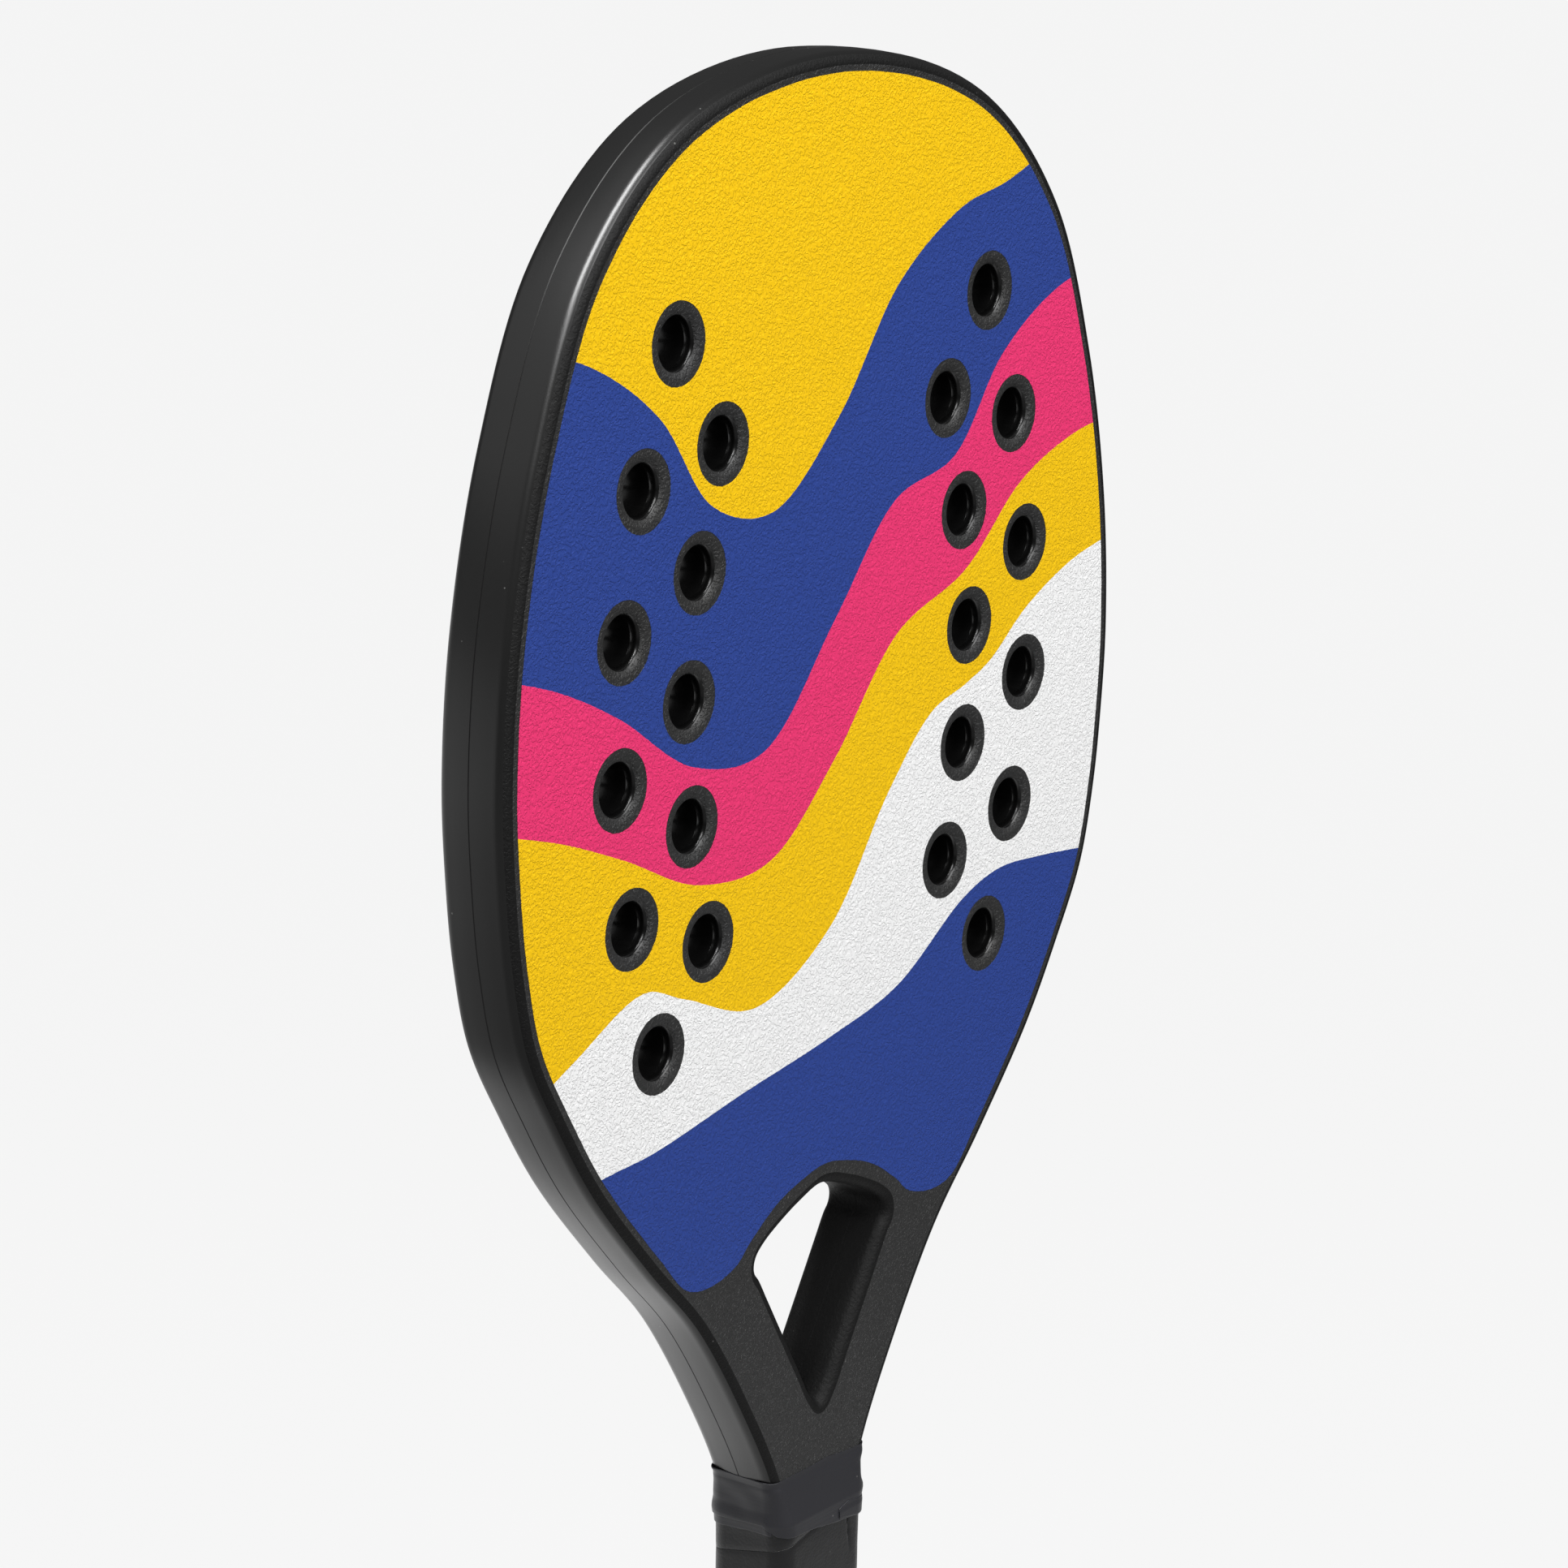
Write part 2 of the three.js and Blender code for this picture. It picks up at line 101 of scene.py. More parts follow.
def foam_finish(name, colour, cell):
    """Foam skin: dull and pitted all over with small round cells."""
    material, tree, shader, place = new_finish(name)
    cells = put(tree, "TexVoronoi", {"Vector": place, "Scale": 1 / (cell * mm)})
    bump = put(tree, "Bump", {"Height": cells.outputs["Distance"], "Distance": cell * mm / 6,
                              "Strength": 1.0})
    patchy = put(tree, "TexNoise", {"Vector": place, "Scale": 1 / (foam_patch * mm),
                                    "Detail": 4.0})
    shade = put(tree, "MapRange", {"Value": patchy.outputs["Fac"], "To Min": 0.75, "To Max": 1.2})
    tint = put(tree, "Mix", {0: 1.0, 6: linear(colour), 7: shade.outputs[0]},
               data_type="RGBA", blend_type="MULTIPLY")
    tree.links.new(tint.outputs[2], shader.inputs["Base Color"])
    tree.links.new(bump.outputs["Normal"], shader.inputs["Normal"])
    shader.inputs["Roughness"].default_value = 0.9
    return material


def dress(piece, *materials):
    """Give a piece these materials and no others."""
    piece.data.materials.clear()
    for material in materials:
        piece.data.materials.append(material)


# EVA foam: sliced from a closed-cell block, a dull black full of open pits
dress(frame["nodes"]["head_core"], foam_finish("black EVA foam", eva_black, eva_cell))

# Handle core: a stiff cast polyurethane foam block that fills the shells inside the handle.
# It is hidden by the grip, the butt cap and the shells.
cast_cell = 0.8
pu_straw = "#CDB98A"
# Polyurethane foam: cast in a closed mould, a dull straw colour with pin-sized cells
dress(frame["nodes"]["handle_core"], foam_finish("cast PU foam", pu_straw, cast_cell))

# Half shells: black ABS, injection moulded as a front and a rear half and bonded edge to edge.
# Each has a leather-grained face, smooth side walls, a throat opening and lipped holes.
racket_length = 500
face_height = 10
handle_length = 142.6
neck_half_width = 21.2
handle_half_width = 15.9
neck_flare_length, neck_flare_ease = 26, 6
head_half_width = 125.8
head_length = racket_length - handle_length
edge_radius = 3.3
wall_crown, crown_steps = 0.35, 4
face_skin, side_wall, cavity_chamfer = 1.5, 3, 3
shell_foot = 11.3
parting, throat_parting = 0.18, 0.06
edge_support = 0.3
head_shares = [
    (0.25, 0.0532), (0.407, 0.1366), (0.562, 0.194), (0.735, 0.264), (0.842, 0.321),
    (0.928, 0.376), (0.9695, 0.433), (0.99, 0.4885), (1, 0.5585), (0.976, 0.6565),
    (0.899, 0.7685), (0.756, 0.8805), (0.4805, 0.9644),
]
throat_half_width, throat_height, throat_foot = 27.5, 58.2, handle_length + 16
throat_radius = 3
throat_shares = [
    (0, 0), (0.11, 0.05), (0.305, 0.205), (0.54, 0.39), (0.8, 0.597), (0.92, 0.692),
    (0.985, 0.73), (1, 0.762), (0.975, 0.796), (0.88, 0.836), (0.6975, 0.885), (0.344, 0.957),
    (0, 1),
]
hole_shares = [
    (0.504, 0.8228), (0.3666, 0.7521), (0.6032, 0.7315), (0.4333, 0.6696), (0.6564, 0.6356),
    (0.4619, 0.585), (0.6659, 0.5388), (0.4492, 0.4997), (0.6279, 0.4427), (0.3953, 0.4165),
    (0.5445, 0.3505),
]
bore_radius, lip_width, lip_depth, land_support = 6.2, 2.8, 2, 0.3
sleeve_wall, polished_reach, dull_shade_slope, throat_slack = 0.15, 0.5, 0.74, 1
seam_depth, seam_width, seam_cut = 3.4, 0.15, 0.04
hole_sides, fillet_steps, lip_steps, spline_steps = 72, 10, 10, 12
level_slack, face_slack, shell_crease = 1e-7, 0.001, 32
abs_grain, abs_grain_depth, dull_grain_depth = 0.8, 0.2, 0.05
ridge_foot, ridge_top = 0.42, 0.58
cloud_size, speck_gap, blast_grit, blast_depth = 40, 6, 0.385, 0.01
drag_width, drag_length = 1.11, 16.7
dust_grey = "#8C8C8A"


def through(knots, steps, closed=False):
    """Points of a smooth curve through knots, with equal steps in each span."""
    knots = [Vector(knot) for knot in knots]
    if closed:
        line = [knots[-1], *knots, *knots[:2]]
    else:
        line = [2 * knots[0] - knots[1], *knots, 2 * knots[-1] - knots[-2]]
    points = []
    for a, b, c, d in zip(line, line[1:], line[2:], line[3:]):
        e, f, g = [(q - p).length ** 0.5 for p, q in ((a, b), (b, c), (c, d))]
        leave = ((b - a) / e - (c - a) / (e + f) + (c - b) / f) * f
        meet = ((c - b) / f - (d - b) / (f + g) + (d - c) / g) * f
        for step in range(steps):
            t = step / steps
            bend = 3 * (c - b) - 2 * leave - meet
            points.append(b + leave * t + bend * t * t + (2 * (b - c) + leave + meet) * t ** 3)
    return points if closed else [*points, knots[-1]]


def both_sides(half):
    """Knots of the right half followed by their mirror image."""
    return [*half, *[(-x, y) for x, y in reversed(half[:-1])]]


def mitres(outline):
    """Moves that carry each corner of a closed outline outwards by one from both its sides."""
    sides = [(b - a).normalized() for a, b in zip(outline, outline[1:] + outline[:1])]
    normals = [Vector((side.y, -side.x)) for side in sides]
    return [(a + b) / (1 + a.dot(b)) for a, b in zip(normals[-1:] + normals, normals)]


def grow(outline, distance):
    """A closed outline moved outwards by a distance."""
    return [corner + move * distance for corner, move in zip(outline, mitres(outline))]


def raised(outline, height):
    """An outline of the front half, in place, at a height out from the middle plane."""
    return [Vector((p.x, -height, p.y)) * mm for p in outline]


def circle(centre, radius, sides):
    """Corners of a circle in the flat."""
    turns = [2 * math.pi * i / sides for i in range(sides)]
    return [Vector((centre[0] + radius * math.cos(t), centre[1] + radius * math.sin(t)))
            for t in turns]


def closed_line(points):
    """Add a circle and carry its corners to the points of a closed line."""
    bpy.ops.mesh.primitive_circle_add(vertices=len(points), radius=mm)
    bpy.ops.object.mode_set(mode="EDIT")
    mesh = bpy.context.object.data
    corners = [v for v in bmesh.from_edit_mesh(mesh).verts if v.select]
    for corner, point in zip(corners, points):
        corner.co = point
    bmesh.update_edit_mesh(mesh)


def wall(rings):
    """Draw the first ring and extrude it through the others, corner for corner."""
    closed_line(rings[0])
    mesh = bpy.context.object.data
    for before, after in zip(rings, rings[1:]):
        bpy.ops.mesh.extrude_edges_move()
        nearest = kdtree.KDTree(len(before))
        for i, point in enumerate(before):
            nearest.insert(point, i)
        nearest.balance()
        for corner in bmesh.from_edit_mesh(mesh).verts:
            if corner.select:
                corner.co = after[nearest.find(corner.co)[1]]
    bmesh.update_edit_mesh(mesh)


def fill_between(height):
    """Fill the face between all the open rims at one height of the front half."""
    mesh = bpy.context.object.data
    bpy.ops.mesh.select_mode(type="EDGE")
    bpy.ops.mesh.select_all(action="DESELECT")
    for edge in bmesh.from_edit_mesh(mesh).edges:
        if edge.is_boundary and all(abs(v.co.y + height * mm) < level_slack for v in edge.verts):
            edge.select_set(True)
    bpy.ops.mesh.fill(use_beauty=True)


neck_knots = [
    (handle_half_width, handle_length - neck_flare_length),
    ((handle_half_width * neck_flare_ease + neck_half_width) / (neck_flare_ease + 1),
     handle_length - neck_flare_length / 2),
    (neck_half_width, handle_length),
]
head_knots = [(x * head_half_width, handle_length + y * head_length) for x, y in head_shares]
frame_edge = [
    Vector((handle_half_width, 0)),
    *through(both_sides([*neck_knots, *head_knots, (0, racket_length)]), spline_steps),
    Vector((-handle_half_width, 0)),
]
throat_knots = [(x * throat_half_width, throat_foot + y * throat_height) for x, y in throat_shares]
throat_edge = through(both_sides(throat_knots)[:-1], spline_steps // 2, closed=True)
hole_centres = [(side * x * head_half_width, handle_length + y * head_length)
                for side in (1, -1) for x, y in hole_shares]


def rounded_wall(outline, outwards, crown, radius, groove):
    """Rings of a crowned wall, from the groove of the parting line over a round edge to a face."""
    rings = [raised(grow(outline, outwards * groove), 0)]
    for step in range(crown_steps):
        share = step / crown_steps
        high = groove + (face_height - radius - groove) * share
        rings.append(raised(grow(outline, outwards * crown * share ** 2), high))
    for step in range(fillet_steps + 1):
        turn = math.pi / 2 * step / fillet_steps
        inset = outwards * (crown + radius * (1 - math.cos(turn)))
        rings.append(raised(grow(outline, inset), face_height - radius * (1 - math.sin(turn))))
    return [*rings, raised(grow(outline, outwards * (crown + radius + edge_support)), face_height)]


def hole_wall(centre):
    """Rings of a lipped hole and its sleeve, from the shell's inside round to its face."""
    ceiling = face_height - face_skin
    seam = face_height - seam_depth
    flat = [
        (bore_radius + sleeve_wall, ceiling), (bore_radius + sleeve_wall, 0), (bore_radius, 0),
        (bore_radius, seam), (bore_radius + seam_cut, seam + seam_width / 2),
        (bore_radius, seam + seam_width),
    ]
    for step in range(lip_steps + 1):
        turn = math.pi / 2 * step / lip_steps
        flat.append((bore_radius + lip_width * (1 - math.cos(turn)),
                     face_height - lip_depth * (1 - math.sin(turn))))
    flat.append((bore_radius + lip_width + land_support, face_height))
    return [raised(circle(centre, radius, hole_sides), high) for radius, high in flat]


bpy.ops.object.select_all(action="DESELECT")
inner_height = face_height - face_skin
wall([
    raised(grow(frame_edge, -side_wall - cavity_chamfer), inner_height),
    raised(grow(frame_edge, -side_wall), inner_height - cavity_chamfer),
    raised(grow(frame_edge, -side_wall), 0),
    *rounded_wall(frame_edge, -1, wall_crown, edge_radius, parting),
])
wall([
    raised(grow(throat_edge, side_wall), inner_height),
    raised(grow(throat_edge, side_wall), 0),
    *rounded_wall(throat_edge, 1, 0, throat_radius, throat_parting),
])
wall(hole_wall(hole_centres[0]))
for here, there in zip(hole_centres, hole_centres[1:]):
    bpy.ops.mesh.select_linked()
    step = ((there[0] - here[0]) * mm, 0, (there[1] - here[1]) * mm)
    bpy.ops.mesh.duplicate_move(TRANSFORM_OT_translate={"value": step})
fill_between(face_height)
fill_between(inner_height)
bpy.ops.mesh.select_all(action="SELECT")
bpy.ops.mesh.normals_make_consistent(inside=False)
bpy.ops.mesh.bisect(plane_co=(0, 0, shell_foot * mm), plane_no=(0, 0, 1),
                    use_fill=True, clear_inner=True)
bpy.ops.object.mode_set(mode="OBJECT")
front_half = bpy.context.object
front_half.name = "front_half_shell"


def grained(tree, place, depth):
    """Normal of the moulded leather grain: short curled ridges about a millimetre apart."""
    curls = put(tree, "TexNoise", {"Vector": place, "Scale": 1 / (abs_grain * mm), "Detail": 1.0,
                                   "Distortion": 0.6})
    ridges = put(tree, "MapRange", {"Value": curls.outputs["Fac"], "From Min": ridge_foot,
                                    "From Max": ridge_top}, interpolation_type="SMOOTHSTEP")
    return put(tree, "Bump", {"Height": ridges.outputs[0], "Distance": depth * mm,
                              "Strength": 1.0}).outputs["Normal"]


def worn(tree, colour, place, edge_colour, edge_share):
    """A moulded colour: cloudy, a little paler along its edges, and with specks of dust."""
    cloudy = put(tree, "TexNoise", {"Vector": place, "Scale": 1 / (cloud_size * mm),
                                    "Detail": 5.0})
    shade = put(tree, "MapRange", {"Value": cloudy.outputs["Fac"], "To Min": 0.9, "To Max": 1.1})
    body = put(tree, "Mix", {0: 1.0, 6: linear(colour), 7: shade.outputs[0]},
               data_type="RGBA", blend_type="MULTIPLY")
    edges = put(tree, "MapRange", {"Value": put(tree, "NewGeometry").outputs["Pointiness"],
                                   "From Min": 0.56, "From Max": 0.66, "To Max": edge_share})
    rubbed = put(tree, "Mix", {0: edges.outputs[0], 6: body.outputs[2], 7: linear(edge_colour)},
                 data_type="RGBA")
    specks = put(tree, "TexVoronoi", {"Vector": place, "Scale": 1 / (speck_gap * mm)})
    dust = put(tree, "MapRange", {"Value": specks.outputs["Distance"], "From Min": 0.03,
                                  "From Max": 0.05, "To Min": 0.35, "To Max": 0.0})
    return put(tree, "Mix", {0: dust.outputs[0], 6: rubbed.outputs[2], 7: linear(dust_grey)},
               data_type="RGBA").outputs[2]


# Grained ABS: moulded against an etched steel tool, a dull black of fine curled ridges
grained_abs, tree, shader, place = new_finish("grained black ABS")
tree.links.new(worn(tree, "#242424", place, "#484848", 0.2), shader.inputs["Base Color"])
tree.links.new(grained(tree, place, abs_grain_depth), shader.inputs["Normal"])
shader.inputs["Roughness"].default_value = 0.52

# Smooth ABS: the same plastic off a bead-blasted tool, satin, with a soft long highlight.
# The grit is drawn coarser than it is, so that it shows.
smooth_abs, tree, shader, place = new_finish("satin black ABS")
tree.links.new(worn(tree, "#121212", place, "#3C3C3C", 0.3), shader.inputs["Base Color"])
micro = put(tree, "TexNoise", {"Vector": place, "Scale": 1 / (blast_grit * mm), "Detail": 2.0})
tree.links.new(put(tree, "Bump", {"Height": micro.outputs["Fac"], "Distance": blast_depth * mm,
                                  "Strength": 1.0}).outputs["Normal"], shader.inputs["Normal"])
shader.inputs["Roughness"].default_value = 0.3

# Bore ABS: moulded on polished pins, near black and glossy, with faint drag marks.
# The marks are drawn wide enough to show.
bore_abs, tree, shader, place = new_finish("polished black ABS")
across, down = 1 / (drag_width * mm), 1 / (drag_length * mm)
drag = put(tree, "Mapping", {"Vector": place, "Scale": (across, down, across)})
marks = put(tree, "TexNoise", {"Vector": drag.outputs[0], "Scale": 1.0, "Detail": 2.0})
tree.links.new(put(tree, "MapRange", {"Value": marks.outputs["Fac"], "To Min": 0.14,
                                      "To Max": 0.32}).outputs[0], shader.inputs["Roughness"])
shader.inputs["Base Color"].default_value = linear("#0C0C0C")

# Dull ABS: the throat's wall and the rim of the face, off coarsely blasted steel, a flat black
# that holds no highlight, a little darker than the satin ABS as painted shade in these places
dull_shade_abs, tree, shader, place = new_finish("dull black ABS with painted shade")
tree.links.new(worn(tree, "#0E0E0E", place, "#2C2C2C", 0.2), shader.inputs["Base Color"])
tree.links.new(grained(tree, place, dull_grain_depth), shader.inputs["Normal"])
shader.inputs["Roughness"].default_value = 0.6
shader.inputs["Specular IOR Level"].default_value = 0.2

dress(front_half, grained_abs, smooth_abs, bore_abs, dull_shade_abs)
grained_slot, smooth_slot, bore_slot, dull_shade_slot = range(4)
throat_side = throat_half_width + throat_radius + throat_slack
throat_low = throat_foot - throat_radius - throat_slack
throat_high = throat_foot + throat_height + throat_radius + throat_slack
throat_middle = Vector((0, throat_foot + throat_height / 2))


def finish_at(face):
    """Slot of the finish that a face of the shell has, by its place and its slope."""
    centre = face.center / mm
    spot, slope = Vector((centre.x, centre.z)), Vector((face.normal.x, face.normal.z))
    bore = min((spot - Vector(hole)).length for hole in hole_centres)
    if -centre.y > face_height - face_slack:
        return grained_slot
    if bore < bore_radius + polished_reach:
        return bore_slot
    if bore < bore_radius + lip_width + land_support:
        return grained_slot
    # The throat's inward walls take the dull black, darker as painted shade in that hollow.
    near_throat = abs(spot.x) < throat_side and throat_low < spot.y < throat_high
    if near_throat and slope.dot(spot - throat_middle) < 0:
        return dull_shade_slot
    # Edge faces turned nearly straight out of the face take it too, as a painted band of shade.
    return dull_shade_slot if -face.normal.y > dull_shade_slope else smooth_slot


for face in front_half.data.polygons:
    face.material_index = finish_at(face)


def pick(piece):
    """Select one piece alone."""
    bpy.ops.object.select_all(action="DESELECT")
    piece.select_set(True)
    bpy.context.view_layer.objects.active = piece


def turned_copy(piece, name):
    """A copy of a front piece, turned half round the racket's axis to be the rear one."""
    pick(piece)
    bpy.ops.object.duplicate()
    copy = bpy.context.object
    copy.name = name
    bpy.ops.transform.rotate(value=math.pi, orient_axis="Z", center_override=(0, 0, 0))
    bpy.ops.object.transform_apply()
    return copy


def smooth(piece, degrees):
    """Shade a piece smooth but for edges sharper than an angle."""
    pick(piece)
    bpy.ops.object.shade_smooth_by_angle(angle=math.radians(degrees))


smooth(front_half, shell_crease)
rear_half = turned_copy(front_half, "rear_half_shell")
for half, node in ((front_half, "front_shell"), (rear_half, "rear_shell")):
    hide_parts(node)
    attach(half, "root")

# Printed faces: matt inks, screen printed over the grain in wavy bands, one piece for each band.
# They leave the margin, the lands of the holes and the arch over the throat bare.
print_sink, print_thickness, wave_reach = 0.02, 0.05, 1
print_margin, arch_gap, lobe_drop, lobe_join = 1.95, 2.9, 19.5, 0.45
land_radius, land_sides, wave_steps = 10, 144, 36
ragged_reach, ragged_step, ragged_apart = 0.1, 0.9, 9
ink_grain_depth, ink_patch = 0.14, 1.43
# The waves' points are shares of the head's half width and of its length.
arch_shares = [(0, 0), (0.36, 0.09), (0.73, 0.27), (1.13, 0.63)]
lobe_shares = [(0.16, 0.87), (0.48, 1), (0.72, 0.9)]
wave_shares = [
    [(-1.01, 0.235), (-0.779, 0.274), (-0.545, 0.283), (-0.278, 0.3), (0, 0.316), (0.238, 0.336),
     (0.465, 0.383), (0.592, 0.396), (0.755, 0.3945), (1.01, 0.386)],
    [(-1.01, 0.33), (-0.795, 0.3665), (-0.592, 0.396), (-0.465, 0.382), (-0.238, 0.358),
     (0, 0.397), (0.191, 0.481), (0.334, 0.529), (0.453, 0.5425), (0.541, 0.555),
     (0.668, 0.5867), (0.835, 0.613), (1.01, 0.627)],
    [(-1.01, 0.532), (-0.835, 0.515), (-0.652, 0.491), (-0.425, 0.458), (-0.199, 0.459),
     (0, 0.515), (0.207, 0.593), (0.445, 0.627), (0.636, 0.681), (0.835, 0.708), (1.01, 0.716)],
    [(-1.01, 0.632), (-0.835, 0.613), (-0.668, 0.586), (-0.445, 0.54), (-0.223, 0.537),
     (0, 0.616), (0.191, 0.688), (0.397, 0.711), (0.556, 0.776), (0.755, 0.817), (1.01, 0.834)],
    [(-1.01, 0.839), (-0.755, 0.817), (-0.556, 0.776), (-0.397, 0.712), (-0.207, 0.6995),
     (0, 0.7555), (0.191, 0.839), (0.397, 0.884), (0.556, 0.898), (0.755, 0.923), (1.01, 0.94)],
]


def ragged(points):
    """A print edge that wanders a little, as ink does over a grain."""
    moved = []
    for point in points:
        at = Vector((point.x, point.y, 0)) / ragged_step
        drift = Vector((noise.noise(at), noise.noise(at + Vector((0, 0, ragged_apart)))))
        moved.append(point + ragged_reach * drift)
    return moved


def plate(lines, low, high):
    """A flat plate between two heights of the front half, inside one line and round the others."""
    bpy.ops.object.select_all(action="DESELECT")
    for points in lines:
        closed_line(raised(points, low))
    bpy.ops.mesh.select_all(action="SELECT")
    if len(lines) > 1:
        bpy.ops.mesh.fill(use_beauty=True)
    else:
        bpy.ops.mesh.edge_face_add()
    bpy.ops.mesh.select_all(action="SELECT")
    bpy.ops.mesh.extrude_region_move(TRANSFORM_OT_translate={"value": (0, (low - high) * mm, 0)})
    bpy.ops.mesh.select_all(action="SELECT")
    bpy.ops.mesh.normals_make_consistent(inside=False)
    bpy.ops.object.mode_set(mode="OBJECT")
    return bpy.context.object


def print_edge():
    """Edge of the print: the frame's outline set in, closed by two lobes and an arch."""
    arch_top = throat_foot + throat_height + throat_radius + arch_gap
    inset = grow(frame_edge, -edge_radius - print_margin)
    sides = [p for p in inset if p.y > arch_top - lobe_join * lobe_drop]
    arch = [(x * throat_half_width, arch_top - drop * lobe_drop) for x, drop in arch_shares]
    (end, _), (side, high) = arch[-1], sides[0]
    lobes = [(end + (side - end) * x, arch_top - drop * lobe_drop) for x, drop in lobe_shares]
    foot = through(both_sides([*arch, *lobes, (side, high)][::-1]), spline_steps)
    return [*foot[::-1], *sides[1:-1]]


def cut(piece, block, operation):
    """Cut a piece with a block, to keep what is inside it or what is outside."""
    modifier = piece.modifiers.new("cut", "BOOLEAN")
    modifier.operation, modifier.solver, modifier.object = operation, "EXACT", block
    pick(piece)
    bpy.ops.object.modifier_apply(modifier=modifier.name)


def ink(name, colour):
    """Screen ink: a matt coat that follows the grain, a little thinner here and there."""
    material, tree, shader, place = new_finish(name)
    thin = put(tree, "TexNoise", {"Vector": place, "Scale": 1 / (ink_patch * mm), "Detail": 3.0})
    shade = put(tree, "MapRange", {"Value": thin.outputs["Fac"], "To Min": 0.93, "To Max": 1.07})
    coat = put(tree, "Mix", {0: 1.0, 6: linear(colour), 7: shade.outputs[0]},
               data_type="RGBA", blend_type="MULTIPLY")
    tree.links.new(coat.outputs[2], shader.inputs["Base Color"])
    tree.links.new(grained(tree, place, ink_grain_depth), shader.inputs["Normal"])
    shader.inputs["Roughness"].default_value = 0.6
    shader.inputs["Specular IOR Level"].default_value = 0.15
    return material


film = plate(
    [ragged(print_edge()),
     *[ragged(circle(centre, land_radius, land_sides)) for centre in hole_centres]],
    face_height - print_sink, face_height + print_thickness)
film.name = "film"
waves = []
for shares in wave_shares:
    knots = [(x * head_half_width, handle_length + y * head_length) for x, y in shares]
    wave = ragged(through(knots, wave_steps))
    feet = [Vector((p.x, handle_length)) for p in (wave[-1], wave[0])]
    waves.append(plate([[*wave, *feet]], face_height - wave_reach, face_height + wave_reach))
# Screen inks: forced through a mesh and baked, flat opaque colours that show the grain under them
inks = {
    "blue": ink("blue screen ink", "#2B428C"), "white": ink("white screen ink", "#EFEFEF"),
    "yellow": ink("yellow screen ink", "#EFC00E"), "pink": ink("pink screen ink", "#E4366F"),
}
for index, name in enumerate(["blue_lower", "white", "yellow_lower", "pink", "blue_upper",
                              "yellow_upper"]):
    pick(film)
    bpy.ops.object.duplicate()
    patch = bpy.context.object
    patch.name = "front_" + name + "_ink"
    if index < len(waves):
        cut(patch, waves[index], "INTERSECT")
    if index > 0:
        cut(patch, waves[index - 1], "DIFFERENCE")
    colour = name.split("_")[0]
    dress(patch, inks[colour])
    for side, piece in (("front", patch), ("rear", turned_copy(patch, "rear_" + name + "_ink"))):
        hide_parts("print_" + side + "_" + name)
        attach(piece, "root")
bpy.ops.object.select_all(action="DESELECT")
for spare in (film, *waves):
    spare.select_set(True)
bpy.ops.object.delete()

# Butt cap: one piece of moulded black PVC, pushed into the open end of the shells.
# Its flared flange holds the grip's foot, and a hole in its end takes a wrist cord.
flange_height, flange_flare, plug_top, plug_corner = 11, 3.2, 29, 5
cap_end_wall, cord_radius, pocket_radius, cord_chamfer = 5, 4, 5.8, 0.6
grip_reach = 2.2
plug_clearance = 0.3
groove_outer, groove_middle, groove_inner, groove_depth = 1.2, 1.5, 1.8, 0.35
ring_sides, flange_steps, cap_crease, weld = 120, 5, 40, 1e-6
pvc_grit, pvc_grit_depth = 0.556, 0.03
flange_shares = [(0.19, 0), (0.76, 0.07), (1, 0.24), (0.9, 0.5), (0.25, 0.8), (0, 1)]
right_edge = frame_edge[:frame_edge.index(max(frame_edge, key=lambda p: p.x))]


def half_width(z):
    """Half width of the shells at a height."""
    for a, b in zip(right_edge, right_edge[1:]):
        if z <= b.y:
            return a.x + (b.x - a.x) * max(z - a.y, 0) / (b.y - a.y)


def round_corner(turn, width, depth, corner):
    """Point of a rectangle with round corners in the direction of a turn."""
    x, y = abs(math.cos(turn)), abs(math.sin(turn))
    if y * width <= (depth - corner) * x:
        far = width / x
    elif x * depth <= (width - corner) * y:
        far = depth / y
    else:
        along = x * (width - corner) + y * (depth - corner)
        far = along + math.sqrt(along ** 2 - (width - corner) ** 2 - (depth - corner) ** 2
                                + corner ** 2)
    return Vector((math.copysign(x * far, math.cos(turn)), math.copysign(y * far, math.sin(turn))))


def on_handle(turn, reach, z):
    """Point at a reach out from the handle's surface, in the direction of a turn."""
    flat = round_corner(turn, half_width(z) + reach, face_height + reach, edge_radius + reach)
    return Vector((flat.x, flat.y, z)) * mm


turns = [2 * math.pi * (i + 0.5) / ring_sides for i in range(ring_sides)]


def plug_ring(z):
    """Ring of the cap's plug at a height."""
    width = handle_half_width - side_wall - plug_clearance
    depth = face_height - face_skin - plug_clearance
    flat = [round_corner(turn, width, depth, plug_corner) for turn in turns]
    return [Vector((p.x, p.y, z)) * mm for p in flat]


def round_ring(radius, z):
    """Level circle round the handle's axis."""
    return [Vector((radius * math.cos(t), radius * math.sin(t), z)) * mm for t in turns]


bpy.ops.object.select_all(action="DESELECT")
flange = through([(flange_flare * out, flange_height * high) for out, high in flange_shares],
                 flange_steps)
rings = [
    round_ring(pocket_radius, plug_top), plug_ring(plug_top), plug_ring(flange_height),
    *[[on_handle(t, grip_reach + p.x, p.y) for t in turns] for p in reversed(flange)],
    [on_handle(t, grip_reach - groove_outer, 0) for t in turns],
    [on_handle(t, grip_reach - groove_middle, groove_depth) for t in turns],
    [on_handle(t, grip_reach - groove_inner, 0) for t in turns],
    round_ring(cord_radius + cord_chamfer, 0), round_ring(cord_radius, cord_chamfer),
    round_ring(cord_radius, cap_end_wall), round_ring(pocket_radius, cap_end_wall),
    round_ring(pocket_radius, plug_top),
]
wall(rings)
bpy.ops.mesh.select_all(action="SELECT")
bpy.ops.mesh.remove_doubles(threshold=weld)
bpy.ops.mesh.normals_make_consistent(inside=False)
bpy.ops.object.mode_set(mode="OBJECT")
cap = bpy.context.object
cap.name = "moulded_butt_cap"
